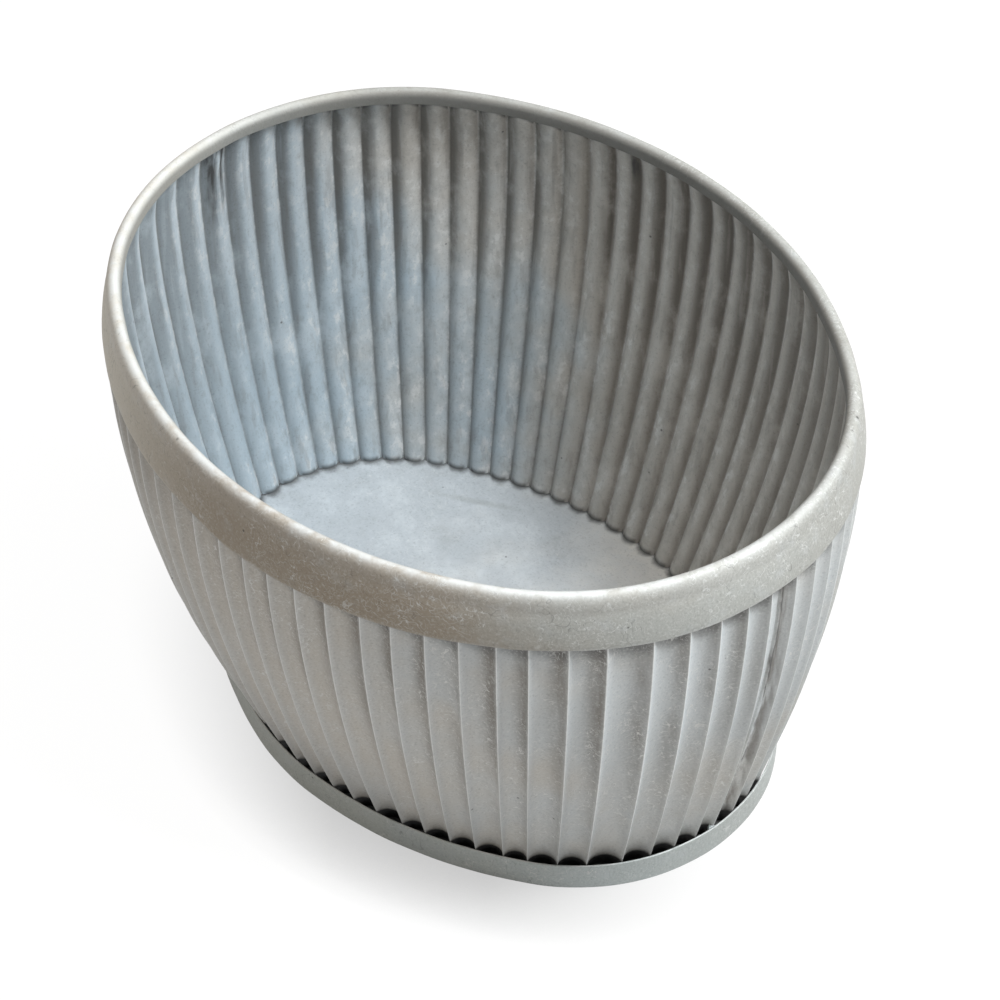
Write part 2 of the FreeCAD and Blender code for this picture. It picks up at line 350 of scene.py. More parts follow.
class Flutes:
    """Every flute of the wall at every level, as arrays of level by flute."""

    def __init__(self):
        self.levels = np.linspace(FLOOR_LEVEL, WALL_TOP, WALL_LEVELS)
        widest = oval_round(ridge_axes(BAND_EDGE))
        seam = SEAM_OFFSET / widest
        back = seam + (np.arange(BACK_RIDGES) + 0.5) / BACK_RIDGES * (0.5 - seam)
        front = 0.5 + (np.arange(FRONT_RIDGES) + 0.5) / FRONT_RIDGES * (0.5 + seam)
        front[::-1][:len(RIDGE_SHIFTS)] += np.array(RIDGE_SHIFTS) * MM / widest
        fraction = np.concatenate([back, front])
        tips, _ = oval_place(ridge_axes(self.levels[:, None]), fraction[None, :])
        ends = np.roll(tips, -1, axis=1)
        chord = ends - tips
        length = np.linalg.norm(chord, axis=-1)
        self.along = chord / length[..., None]
        self.inward = np.stack([-self.along[..., 1], self.along[..., 0]], axis=-1)
        top_angle = 2 * np.arctan(2 * FLUTE_DEPTH / length[-1])
        sheet_width = length[-1] / np.sin(top_angle) * top_angle
        self.angle = flank_angle(sheet_width / length)
        self.radius = length / 2 / np.sin(self.angle)
        middle = (tips + ends) / 2
        self.centre = middle - self.inward * (self.radius * np.cos(self.angle))[..., None]
        self.grooves = self.groove(1), self.groove(-1)

    def groove(self, shift):
        """Angle at which each flute's inner face meets that of the flute before it or after it."""
        mine = self.radius + WALL_SHEET
        theirs = np.roll(mine, shift, axis=1)
        apart = np.roll(self.centre, shift, axis=1) - self.centre
        distance = np.linalg.norm(apart, axis=-1)
        reach = (mine ** 2 - theirs ** 2 + distance ** 2) / (2 * distance)
        towards = np.arctan2((apart * self.along).sum(-1), (apart * self.inward).sum(-1))
        return towards - np.copysign(np.arccos(reach / mine), towards)

    def column(self, k, angle, offset=0.0):
        """Points of flute k, one per level, at an angle from its bottom and offset inwards."""
        reach = self.radius[:, k] + offset
        across = (reach * np.cos(angle))[:, None] * self.inward[:, k]
        along = (reach * np.sin(angle))[:, None] * self.along[:, k]
        return np.column_stack([self.centre[:, k] + across + along, self.levels])

    def spread(self, k):
        """Outer half angle of flute k and its two inner ones, short of the rounded edges."""
        outer = self.angle[:, k] - RIDGE_ROUND / self.radius[:, k]
        short = GROOVE_ROUND / (self.radius[:, k] + WALL_SHEET)
        return outer, self.grooves[0][:, k] + short, self.grooves[1][:, k] - short

    def run(self, k, start, end, count):
        """Pairs of outer and inner columns of flute k between two shares of its half angle, -1 to 1."""
        outer_angle, before, after = self.spread(k)
        pairs = []
        for share in np.linspace(start, end, count):
            outer = self.column(k, share * outer_angle)
            inner = self.column(k, share * (after if share > 0 else -before), WALL_SHEET)
            wear = EDGE_WEAR if abs(share) == 1 else 0.0
            pairs.append((outer, inner, wear, self.seam_run(k, share), share))
        return pairs

    def seam_run(self, k, share):
        """Distance along the sheet from a seam's lap, positive on the back sheet; far off elsewhere."""
        side = {RIGHT_SEAM: 1, LEFT_SEAM: -1}.get(k % FLUTE_COUNT)
        if side is None:
            return np.full(WALL_LEVELS, FAR_FROM_SEAM)
        return side * share * self.angle[:, k] * self.radius[:, k] - LAP_WIDTH

    def ridge(self, k):
        """The rounded ridge before flute k, with the rounded groove behind it."""
        last, first = self.spread(k - 1), self.spread(k)
        outer = [self.column(k - 1, last[0]),
                 self.column(k, -self.angle[:, k]),
                 self.column(k, -first[0])]
        inner = [self.column(k - 1, last[2], WALL_SHEET),
                 self.column(k, self.grooves[0][:, k], WALL_SHEET),
                 self.column(k, first[1], WALL_SHEET)]
        pairs = []
        for step in EDGE_STEPS:
            weights = (1 - step) ** 2, 2 * step * (1 - step), step ** 2
            rounded = [sum(w * corner for w, corner in zip(weights, corners))
                       for corners in (outer, inner)]
            seam = np.full(WALL_LEVELS, FAR_FROM_SEAM)
            pairs.append((*rounded, weights[1] * 2, seam, np.sign(0.5 - step)))
        return pairs


def wall_columns(flutes, first, last, lap):
    """Outer and inner columns of a sheet from the middle of flute first to the middle of flute last."""
    half = FLUTE_SAMPLES // 2 + 1
    pairs = lap_columns(flutes, first, -1) if lap else []
    pairs += flutes.run(first, 0, 1, half)
    for k in range(first + 1, last):
        pairs += flutes.ridge(k) + flutes.run(k, -1, 1, FLUTE_SAMPLES)
    pairs += flutes.ridge(last)
    pairs += flutes.run(last, -1, 0, half)
    return pairs + (lap_columns(flutes, last, 1) if lap else [])


def lap_columns(flutes, k, side):
    """Tongue over the other sheet's edge, on a side of the middle of flute k, with a rough cut."""
    lift = -SEAT_GAP - WALL_SHEET
    height = (flutes.levels - FLOOR_LEVEL) / (WALL_TOP - FLOOR_LEVEL)
    rough = 1 + LAP_ROUGHNESS * wave(height, LAP_WAVES, LAP_SEED + side)
    pairs = []
    for share in LAP_STEPS:
        run = side * share * LAP_WIDTH * rough
        angle = run / flutes.radius[:, k]
        outer, inner = flutes.column(k, angle, lift), flutes.column(k, angle, lift + WALL_SHEET)
        pairs.append((outer, inner, 0.0, np.abs(run) - LAP_WIDTH, 0.0))
    return pairs if side > 0 else pairs[::-1]


def grid_faces(a, b, c, d):
    """Four-cornered faces from four grids of point numbers."""
    return np.stack([a.ravel(), b.ravel(), c.ravel(), d.ravel()], axis=1)


def sheet_mesh(name, pairs):
    """Closed mesh of a sheet from outer and inner columns, with what its finish needs to know."""
    outer, inner, wear, seam, flank = [np.array(values) for values in zip(*pairs)]
    columns, levels = outer.shape[:2]
    wear = np.repeat(wear[:, None], levels, axis=1)
    flank = np.repeat(flank[:, None], levels, axis=1)
    points = np.concatenate([outer.reshape(-1, 3), inner.reshape(-1, 3)])
    index = np.arange(2 * columns * levels).reshape(2, columns, levels)
    front, back = index
    faces = [
        grid_faces(front[:-1, :-1], front[1:, :-1], front[1:, 1:], front[:-1, 1:]),
        grid_faces(back[:-1, :-1], back[:-1, 1:], back[1:, 1:], back[1:, :-1]),
        grid_faces(front[:-1, -1], front[1:, -1], back[1:, -1], back[:-1, -1]),
        grid_faces(front[:-1, 0], back[:-1, 0], back[1:, 0], front[1:, 0]),
        grid_faces(front[0, :-1], front[0, 1:], back[0, 1:], back[0, :-1]),
        grid_faces(front[-1, :-1], back[-1, :-1], back[-1, 1:], front[-1, 1:]),
    ]
    none = np.zeros_like(wear)
    facts = {
        "ridge": np.stack([wear, none]),
        "groove": np.stack([none, wear]),
        "outside": np.stack([none + 1, none]),
        "seam": np.stack([seam, seam]),
        "flank": np.stack([flank, flank]),
    }
    return make_object(name, points, np.concatenate(faces).tolist(), facts)


def settle(points):
    """The planter out of true: one corner of its foot, with wall and floor, is pushed inwards."""
    x, y, z = points.T
    across = np.hypot(x / FOOT_AXES[0], y / FOOT_AXES[1])
    polar = np.arctan2(y / FOOT_AXES[1], x / FOOT_AXES[0]) - PUSH_HEADING
    away = np.abs((polar + math.pi) % (2 * math.pi) - math.pi) / PUSH_SPREAD
    share = np.cos(math.pi / 2 * np.clip(away, 0, 1)) ** 2 * np.clip(across, 0, 1) ** 4
    height = np.clip((PUSH_TOP - z) / (PUSH_TOP - FOOT_HEIGHT), 0, 1) ** 2
    reach = np.hypot(x, y)
    keep = 1 - PUSH_DEPTH * share * height / np.maximum(reach, MM)
    return np.column_stack([x * keep, y * keep, z])


def make_object(name, points, faces, facts):
    """Smooth-shaded mesh piece on the planter's body, with named values at its points."""
    mesh = bpy.data.meshes.new(name)
    mesh.from_pydata(settle(points).tolist(), [], faces)
    for fact, values in facts.items():
        layer = mesh.attributes.new(fact, "FLOAT", "POINT")
        layer.data.foreach_set("value", np.ascontiguousarray(values, dtype=np.float32).ravel())
    mesh.validate()
    mesh.shade_smooth()
    mesh.set_sharp_from_angle(angle=SHARP_EDGE)
    piece = bpy.data.objects.new(name, mesh)
    bpy.context.scene.collection.objects.link(piece)
    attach(piece, "root")
    return piece


def ring_mesh(name, axes, profile, columns, shape):
    """Closed profile of (outward offset, height, wear, lip) rows, taken round an oval and dented."""
    fraction = np.arange(columns) / columns
    place, heading = oval_place(axes, fraction)
    offset, height, wear, lip = np.array(profile).T
    rows = len(profile)
    out = np.broadcast_to(offset[None, :], (columns, rows))
    up = np.broadcast_to(height[None, :], (columns, rows))
    out, up = shape(fraction[:, None], out, up)
    flat = place[:, None, :] + heading[:, None, :] * out[..., None]
    points = np.concatenate([flat, up[..., None]], axis=-1)
    index = np.arange(columns * rows).reshape(columns, rows)
    ahead, above = np.roll(index, -1, axis=0), np.roll(index, -1, axis=1)
    faces = grid_faces(index, ahead, np.roll(ahead, -1, axis=1), above)
    facts = {"wear": np.broadcast_to(wear[None, :], (columns, rows)),
             "lip": np.broadcast_to(lip[None, :], (columns, rows))}
    return make_object(name, points.reshape(-1, 3), faces.tolist(), facts)


def dented(fraction, orders, seed):
    """Closed wave round the oval, within 0 to 1."""
    return 0.5 - 0.5 * wave(fraction, orders, seed)


def rim_profile():
    """Outer leg, soft shoulder, crest and inner lip of the folded band, then back along its inside."""
    face = BAND_SHEET + SEAT_GAP
    inner_face = face - 2 * BEAD_RADIUS
    behind = inner_face + BAND_SHEET
    crest = inner_face + CREST_INSET
    shoulder = TUB_HEIGHT - SHOULDER_DROP
    profile = [(face + lean_at(z), z, 0.0, 0.0) for z in np.linspace(BAND_EDGE, shoulder, LEG_ROWS)]
    profile[0] = (profile[0][0] - BAND_SHEET / 4, BAND_EDGE, LEG_EDGE_WEAR, 0.0)
    reach = profile[-1][0] - crest
    for turn in np.linspace(0, math.pi / 2, SHOULDER_ROWS)[1:]:
        rise = math.sin(turn) ** SHOULDER_POWER
        out = crest + reach * math.cos(turn) ** SHOULDER_POWER
        profile.append((out, shoulder + SHOULDER_DROP * rise, rise ** CREST_WEAR_POWER, 0.0))
    for turn in np.linspace(0, math.pi / 2, BEAD_ROWS)[1:]:
        out = crest - CREST_INSET * math.sin(turn)
        drop = BEAD_RADIUS * (1 - math.cos(turn))
        profile.append((out, TUB_HEIGHT - drop, math.cos(turn), math.sin(turn) ** 2))
    profile += [(inner_face, z, 0.0, 1.0) for z in np.linspace(WALL_TOP, LIP_EDGE, LIP_ROWS)[1:]]
    profile += [(behind, LIP_EDGE, 0.0, 1.0), (behind, WALL_TOP + SEAT_GAP, 0.0, 1.0)]
    down = np.linspace(WALL_TOP, BAND_EDGE, BEHIND_ROWS)
    profile += [(SEAT_GAP + lean_at(z), z, 0.0, 0.0) for z in down]
    return profile


def rim_shape(fraction, out, up):
    """Hand-dressed rim: the shoulder is dented, the crest dips, and the lower edge hangs unevenly."""
    high = np.clip((up - BAND_EDGE) / (TUB_HEIGHT - BAND_EDGE), 0, 1)
    low = (1 - high) ** 2
    shoulder = np.exp(-((high - SHOULDER_MIDDLE) / SHOULDER_SPAN) ** 2)
    out = out - SHOULDER_DENT * dented(fraction, SHOULDER_WAVES, 1) * shoulder
    out = out - LEG_DENT * dented(fraction, LEG_WAVES, 3) * low
    where, drops = np.array(EDGE_DROPS).T
    drop = np.interp(np.where(fraction < 0.5, fraction + 1, fraction), where, drops) * MM
    return out, up - CREST_DIP * dented(fraction, CREST_WAVES, 2) * high ** 2 - drop * low


def foot_profile():
    """Upright ring with slightly eased upper edges, up its outside and down its inside."""
    outer_top, inner_top = FOOT_HEIGHT - FOOT_OUTER_ROUND, FOOT_HEIGHT - FOOT_INNER_ROUND
    profile = [(0, z, 0.0, 0.0) for z in np.linspace(0, outer_top, FOOT_ROWS)]
    profile.append((-FOOT_OUTER_ROUND, FOOT_HEIGHT, 1.0, 0.0))
    profile.append((FOOT_INNER_ROUND - FOOT_SHEET, FOOT_HEIGHT, 1.0, 0.0))
    profile += [(-FOOT_SHEET, z, 0.0, 0.0) for z in np.linspace(inner_top, 0, FOOT_ROWS)]
    return profile


def foot_shape(fraction, out, up):
    """Slight dents round the foot."""
    return out - FOOT_DENT * dented(fraction, FOOT_WAVES, 4), up


def floor_mesh(name, flutes):
    """Floor plate in rings that end along the ribs, so that its finish knows how near the ribs are."""
    pairs = [flutes.ridge(k) + flutes.run(k, -1, 1, FLUTE_SAMPLES) for k in range(FLUTE_COUNT)]
    line = np.array([inner[0, :2] for flute in pairs for _, inner, *_ in flute])
    columns = len(line)
    outer, _ = oval_place(ridge_axes(FLOOR_LEVEL), np.arange(columns) / columns)
    start = np.argmin(np.linalg.norm(outer - line[0], axis=1))
    outer = np.roll(outer, -start, axis=0)
    shares = np.array(FLOOR_RINGS)
    top = np.array([line * share for share in shares] + [outer])
    dirt_and_shade = np.concatenate([np.clip((shares - DIRT_AND_SHADE_START) / (1 - DIRT_AND_SHADE_START), 0, 1), [1.0, 1.0]])
    span = np.linalg.norm(top, axis=-1)
    ripples = [np.sin(top[..., axis] * pace + phase)
               for axis, (pace, phase) in enumerate(FLOOR_SAG_WAVES)]
    sag = -FLOOR_SAG * (0.5 + 0.5 * ripples[0] * ripples[1])
    sag = sag * np.clip(1 - (span / span.max()) ** 6, 0, 1)
    upper = np.concatenate([top, (FLOOR_LEVEL + sag)[..., None]], axis=-1).reshape(-1, 3)
    lower = np.column_stack([outer, np.full(columns, FLOOR_UNDER)])
    points = np.concatenate([upper, lower])
    index = np.arange(len(points)).reshape(-1, columns)
    ahead = np.roll(index, -1, axis=1)
    faces = grid_faces(index[:-1], index[1:], ahead[1:], ahead[:-1]).tolist()
    faces.append(index[0].tolist())
    faces.append(index[-1][::-1].tolist())
    return make_object(name, points, faces, {"dirt_and_shade": np.repeat(dirt_and_shade[:, None], columns, axis=1)})


def add_node(tree, kind, inputs=None, **settings):
    """New node of a tree, with its settings and its inputs, each a value or a socket to link."""
    item = tree.nodes.new(kind)
    for key, value in settings.items():
        setattr(item, key, value)
    for key, value in (inputs or {}).items():
        if isinstance(value, bpy.types.NodeSocket):
            tree.links.new(value, item.inputs[key])
        else:
            item.inputs[key].default_value = value
    return item


def rgba(value):
    """A colour as a node takes it: a socket as it is, or three numbers made opaque."""
    return value if isinstance(value, bpy.types.NodeSocket) else (*value, 1)


class Finish:
    """One node-built material: layers of colour over a matt metal shader."""

    def __init__(self, name, metallic, roughness):
        self.material = bpy.data.materials.new(name)
        self.material.use_nodes = True
        self.tree = self.material.node_tree
        self.shader = self.tree.nodes["Principled BSDF"]
        self.shader.inputs["Metallic"].default_value = metallic
        self.rough = roughness
        self.place = self.node("ShaderNodeTexCoord").outputs["Object"]
        self.ragged = None
        self.sparse = None

    def node(self, kind, inputs=None, **settings):
        return add_node(self.tree, kind, inputs, **settings)

    def fact(self, name):
        return self.node("ShaderNodeAttribute", attribute_name=name).outputs["Fac"]

    def axes(self):
        return self.node("ShaderNodeSeparateXYZ", {0: self.place}).outputs

    def noise(self, scale, detail, seed, stretch=(1, 1, 1), distortion=0.0, roughness=0.55):
        """Cloudy value about 0.5, its scale per metre, drawn out along an axis by a stretch below 1."""
        shift = tuple(seed * step for step in NOISE_STEP)
        moved = {"Vector": self.place, "Location": shift, "Scale": stretch}
        place = self.node("ShaderNodeMapping", moved).outputs[0]
        settings = {"Vector": place, "Scale": scale, "Detail": detail, "Roughness": roughness,
                    "Distortion": distortion}
        return self.node("ShaderNodeTexNoise", settings).outputs["Fac"]

    def drift(self, span, *noise, **settings):
        """Cloudy value about 0, half a span to each side."""
        return self.times(self.math("SUBTRACT", self.noise(*noise, **settings), 0.5), span)

    def ramp(self, value, low, high):
        """0 below low and 1 above high, or the other way round where low is the higher."""
        item = self.node("ShaderNodeMapRange", {"Value": value, "From Min": low, "From Max": high},
                         interpolation_type="SMOOTHSTEP")
        return item.outputs[0]

    def math(self, operation, first, second=0.0):
        return self.node("ShaderNodeMath", {0: first, 1: second}, operation=operation).outputs[0]

    def chain(self, operation, values):
        total = values[0]
        for value in values[1:]:
            total = self.math(operation, total, value)
        return total

    def times(self, *values):
        return self.chain("MULTIPLY", values)

    def plus(self, *values):
        return self.chain("ADD", values)

    def rest(self, value, whole=1.0):
        """What a value leaves of a whole."""
        return self.math("SUBTRACT", whole, value)

    def blend(self, share, below, above):
        inputs = {0: share, 6: rgba(below), 7: rgba(above)}
        return self.node("ShaderNodeMix", inputs, data_type="RGBA").outputs[2]

    def layer(self, below, above, share, *masks):
        """A colour laid over another by a share, where every mask is high."""
        return self.blend(self.times(*masks, share), below, above)

    def hairs(self, scale, width, seed):
        """Fine curly scratches: short lengths of the contour lines of a twisted cloud."""
        cloud = self.noise(scale, 0.0, seed, distortion=0.9)
        off_line = self.math("ABSOLUTE", self.math("SUBTRACT", cloud, 0.5))
        patch = self.ramp(self.noise(scale * 0.6, 1.0, seed + 1), 0.43, 0.56)
        if self.sparse is None:
            self.sparse = self.ramp(self.noise(14, 2.0, 19), 0.36, 0.56)
        return self.times(self.ramp(off_line, width, 0.0), patch, self.sparse)

    def specks(self, scale, size, share, seed):
        """Small round pits in a share of the cells."""
        shift = tuple(seed * step for step in SPECK_STEP)
        place = self.node("ShaderNodeMapping", {"Vector": self.place, "Location": shift}).outputs[0]
        cells = self.node("ShaderNodeTexVoronoi", {"Vector": place, "Scale": scale})
        chosen = self.node("ShaderNodeSeparateColor", {0: cells.outputs["Color"]}).outputs[0]
        spot = self.ramp(cells.outputs["Distance"], size, size * 0.4)
        return self.times(spot, self.math("LESS_THAN", chosen, share))

    def spot(self, centre, radii, turn=0.0):
        """1 at a place and 0 beyond the radii about it, with a ragged edge."""
        settings = {"Vector": self.place, "Location": centre, "Rotation": (0, 0, turn), "Scale": radii}
        near = self.node("ShaderNodeMapping", settings, vector_type="TEXTURE").outputs[0]
        reach = self.node("ShaderNodeVectorMath", {0: near}, operation="LENGTH").outputs["Value"]
        if self.ragged is None:
            self.ragged = self.drift(1.0, 260, 3.0, 17, stretch=(1, 1, 0.3))
        return self.ramp(self.plus(reach, self.ragged), 1.0, 0.25)

    def worn(self, paint, strength, seed):
        """Pale hair scratches, pale grain and dark specks over a colour; gives it and its relief."""
        hairs = self.math("MAXIMUM", self.hairs(140, 0.019, seed), self.hairs(220, 0.03, seed + 3))
        grain = self.noise(620, 2.0, seed + 7)
        paint = self.layer(paint, PALE_SCRATCH, strength, hairs)
        paint = self.layer(paint, PALE_SCRATCH, 0.4, self.ramp(grain, 0.52, 0.75), strength)
        paint = self.layer(paint, GRIME_AND_SHADE, 0.2, self.ramp(grain, 0.46, 0.25))
        paint = self.layer(paint, GRIME_AND_SHADE, 0.7, self.specks(scale=75, size=0.09, share=0.07, seed=seed))
        return paint, grain

    def finish(self, paint, relief, depth):
        """Joins the colour, the roughness and the bump to the shader."""
        grain = self.noise(420, 3.0, 21)
        rough = self.node("ShaderNodeMapRange", {
            "Value": grain, "From Min": ROUGH_GRAIN[0], "From Max": ROUGH_GRAIN[1],
            "To Min": self.rough - ROUGH_SPREAD, "To Max": self.rough + ROUGH_SPREAD}).outputs[0]
        inputs = {"Height": relief, "Distance": depth, "Strength": BUMP_STRENGTH}
        bump = self.node("ShaderNodeBump", inputs)
        for socket, value in (("Base Color", paint), ("Roughness", rough), ("Normal", bump.outputs[0])):
            self.tree.links.new(value, self.shader.inputs[socket])
        return self.material


class WallZinc(Finish):
    """Finish of both wall sheets: warm grey outside, bluish to brown and mottled inside, with painted
    light and shade on the flutes.
    """

    def __init__(self):
        super().__init__("wall_zinc", metallic=0.25, roughness=0.52)
        self.outside = self.fact("outside")
        self.ridge = self.fact("ridge")
        self.groove = self.fact("groove")
        self.seam = self.fact("seam")
        self.flank = self.fact("flank")
        self.x, self.y, self.z = self.axes()
        edge = self.math("MAXIMUM", self.ridge, self.groove)
        self.level = self.math("MAXIMUM", self.math("ABSOLUTE", self.flank), edge)
        self.depth = self.times(self.level, self.level, FLUTE_DEPTH)
        self.upper = self.ramp(self.z, *WALL_UPPER)
        self.clouds = self.drift(0.6, 9, 4.0, 1)
        self.bloom = self.ramp(self.noise(26, 5.0, 2, stretch=(1, 1, 0.6), roughness=0.65), 0.5, 0.68)
        self.streaks = self.noise(46, 4.0, 5, stretch=(1, 1, 0.16))
        self.water = self.noise(150, 3.0, 12, stretch=(1, 1, 0.05))

    def outer(self):
        """Paint of the outside: brownish hollows with painted shade on the flank away from the light,
        painted light on the other flank, painted shade below the rim band at the left end, and painted
        shadow under the band.
        """
        cool = self.ramp(self.plus(self.x, self.clouds), *OUTER_COOL_END)
        paint = self.blend(cool, OUTER_WARM, OUTER_COOL)
        # Brown stain and painted shade: the flank of each flute turned away from the light is darkened,
        # broken by streaks, on the upper front wall
        hollow = self.times(self.ramp(self.flank, -0.4, 0.75), self.ramp(self.streaks, 0.2, 0.6))
        hollow = self.times(hollow, self.ramp(self.upper, -0.5, 1.0), self.ramp(self.y, *FRONT_HOLLOWS))
        paint = self.layer(paint, OUTER_HOLLOW, 0.95, hollow)
        # Painted light: the flank of each flute facing the light is lightened
        paint = self.layer(paint, BLOOM, 0.4, self.ramp(self.flank, -0.45, -1.0))
        paint = self.layer(paint, BLOOM, 0.2, self.bloom)
        paint = self.layer(paint, OUTER_BROWN, 0.5, self.upper, self.ramp(self.x, *OUTER_BROWN_END))
        # Painted shade on the upper wall below the rim band, at the left end towards the front
        left = self.times(self.ramp(self.x, *LEFT_END), self.ramp(self.y, *FRONT_SIDE))
        paint = self.layer(paint, OUTER_HOLLOW, 0.55, self.ramp(self.z, *SHADED_UPPER), left)
        # Painted shadow under the rim band, reaching lower in the hollows and on the flank away from
        # the light
        hidden = self.math("SUBTRACT", self.plus(self.z, self.times(self.flank, 4 * MM)), self.depth)
        return self.layer(paint, GRIME_AND_SHADE, 0.6, self.ramp(hidden, *UNDER_BAND))

    def inner(self):
        """Paint of the inside: a painted tint of light and shade, painted light and shade on the ribs'
        flanks, grooves with dirt and painted shade, mottling, water marks, dirt and painted shade along
        the floor, and painted shadow under the lip.
        """
        round_oval = self.plus(self.x, self.y)
        across = self.plus(round_oval, self.plus(self.clouds, self.times(self.upper, 0.15)))
        # Painted tint of light and shade: cool towards -X, where the light falls, and warm towards +X
        # and +Y, in shade
        warm = self.ramp(across, *INNER_WARM_END)
        paint = self.blend(warm, INNER_COOL, INNER_WARM)
        pale = self.blend(warm, INNER_BLOOM, WARM_BLOOM)
        turn = self.rest(self.times(self.ramp(round_oval, *INNER_TURN), 2.0))
        shade = self.times(self.flank, turn)
        left = self.ramp(self.y, *INNER_LEFT)
        wide = self.plus(self.times(self.upper, 0.3), self.times(left, 0.35))
        # Painted shade: the rib flanks turned away from the light are darkened, the side flipping with
        # the wall's heading, wider near the top and at low Y
        valley = self.ramp(self.plus(shade, wide), 0.15, 1.1)
        valley = self.times(valley, self.ramp(self.upper, -0.65, 1.0))
        weak = self.plus(self.times(left, 0.35), self.times(self.ramp(self.x, *INNER_RIGHT), 0.45))
        edgewise = self.times(self.ramp(self.x, *EDGEWISE_X), self.ramp(self.y, *EDGEWISE_Y))
        # Painted light: the rib flanks facing the light are lightened, mostly in the upper wall
        bright = self.times(self.ramp(shade, 0.3, -0.7), self.ramp(self.z, *WALL_BRIGHT))
        paint = self.layer(paint, pale, 1.0, bright)
        paint = self.layer(paint, INNER_GROOVE_DIRT_AND_SHADE, self.rest(weak, 0.82), valley)
        # Grooves darkened by dirt and painted shade, except where they carry the painted highlight
        paint = self.layer(paint, INNER_GROOVE_DIRT_AND_SHADE, 0.5, self.groove, self.rest(edgewise))
        # Painted light broken by streaks on the flanks facing the light
        crest = self.times(self.ramp(shade, 0.3, -0.5), self.ramp(self.streaks, 0.46, 0.62))
        paint = self.layer(paint, pale, 0.5, crest)
        paint = self.layer(paint, pale, 0.5, self.bloom)
        mottle = self.noise(130, 5.0, 11, stretch=(1, 1, 0.7), roughness=0.7)
        # Pale mottling, laid only on the flanks painted as lit
        strip = self.times(self.ramp(shade, 0.7, -0.5), self.ramp(self.streaks, 0.34, 0.56))
        paint = self.layer(paint, PALE_MOTTLE, 0.5, self.ramp(mottle, 0.5, 0.63), strip)
        paint = self.layer(paint, STAIN, 0.2, self.ramp(mottle, 0.47, 0.3))
        paint = self.layer(paint, pale, 0.25, self.ramp(self.water, 0.54, 0.7))
        paint = self.layer(paint, STAIN, 0.25, self.ramp(self.water, 0.46, 0.3))
        # Painted highlight: the grooves turn pale where the ribs at the +X end are seen edgewise
        paint = self.layer(paint, WARM_BLOOM, 0.6, self.groove, edgewise)
        low_back = self.times(self.ramp(self.y, *LOW_BACK_Y), self.ramp(self.x, *LOW_BACK_X))
        paint = self.layer(paint, STAIN, 0.2, self.ramp(self.z, *WALL_LOWER), low_back)
        # Dirt and painted shade at the foot of the wall along the floor, fading towards the ridges and
        # grooves
        foot_dirt_and_shade = self.times(self.ramp(self.z, *FLOOR_DIRT_AND_SHADE), self.ramp(self.level, 1.0, 0.6))
        paint = self.layer(paint, GRIME_AND_SHADE, 0.85, foot_dirt_and_shade)
        # Painted shadow under the rim's lip, reaching lower in the hollows
        return self.layer(paint, GRIME_AND_SHADE, 0.8, self.ramp(self.plus(self.z, self.depth), *UNDER_LIP))

    def seam_marks(self, paint):
        """Dark line along the lap's edge outside, with a stain beside it."""
        beside = self.plus(self.seam, self.drift(0.006, 160, 3.0, 8, stretch=(1, 1, 0.35)))
        stain = self.times(self.ramp(beside, *SEAM_STAIN), self.ramp(beside, *SEAM_STAIN_FRONT))
        paint = self.layer(paint, STAIN, 0.85, stain, self.outside, self.ramp(self.water, 0.35, 0.6))
        line = self.times(self.ramp(self.math("ABSOLUTE", beside), *SEAM_LINE), self.outside)
        return self.layer(paint, GRIME_AND_SHADE, 0.8, line, self.ramp(self.water, 0.3, 0.6))

    def made(self):
        paint = self.blend(self.outside, self.inner(), self.outer())
        few = self.plus(self.times(self.ramp(self.x, *FEW_SCRATCHES_WALL), 0.6), 0.4)
        paint, relief = self.worn(paint, self.times(self.outside, few), 4)
        patchy = self.ramp(self.noise(130, 2.0, 6), 0.3, 0.6)
        paint = self.layer(paint, RIDGE_METAL, 0.95, self.ridge, self.ramp(patchy, -1.2, 0.8))
        paint = self.seam_marks(paint)
        drip = self.times(self.ramp(self.water, 0.72, 0.36), self.rest(self.outside))
        for centre, radii, strength in INNER_STAINS:
            fade = self.ramp(self.z, centre[2] - radii[2], centre[2] + radii[2] * STAIN_TOP)
            paint = self.layer(paint, GRIME_AND_SHADE, strength, self.spot(centre, radii), fade, drip)
        for centre in WALL_PITS:
            paint = self.layer(paint, GRIME_AND_SHADE, 0.8, self.spot(centre, PIT_RADII), self.outside)
        # Painted shadow: the outside of the wall goes black in the pockets below the top of the foot
        # ring
        paint = self.layer(paint, POCKET_SHADOW, 1.0, self.outside, self.ramp(self.z, *FOOT_POCKET))
        return self.finish(paint, relief, FINE_RELIEF)


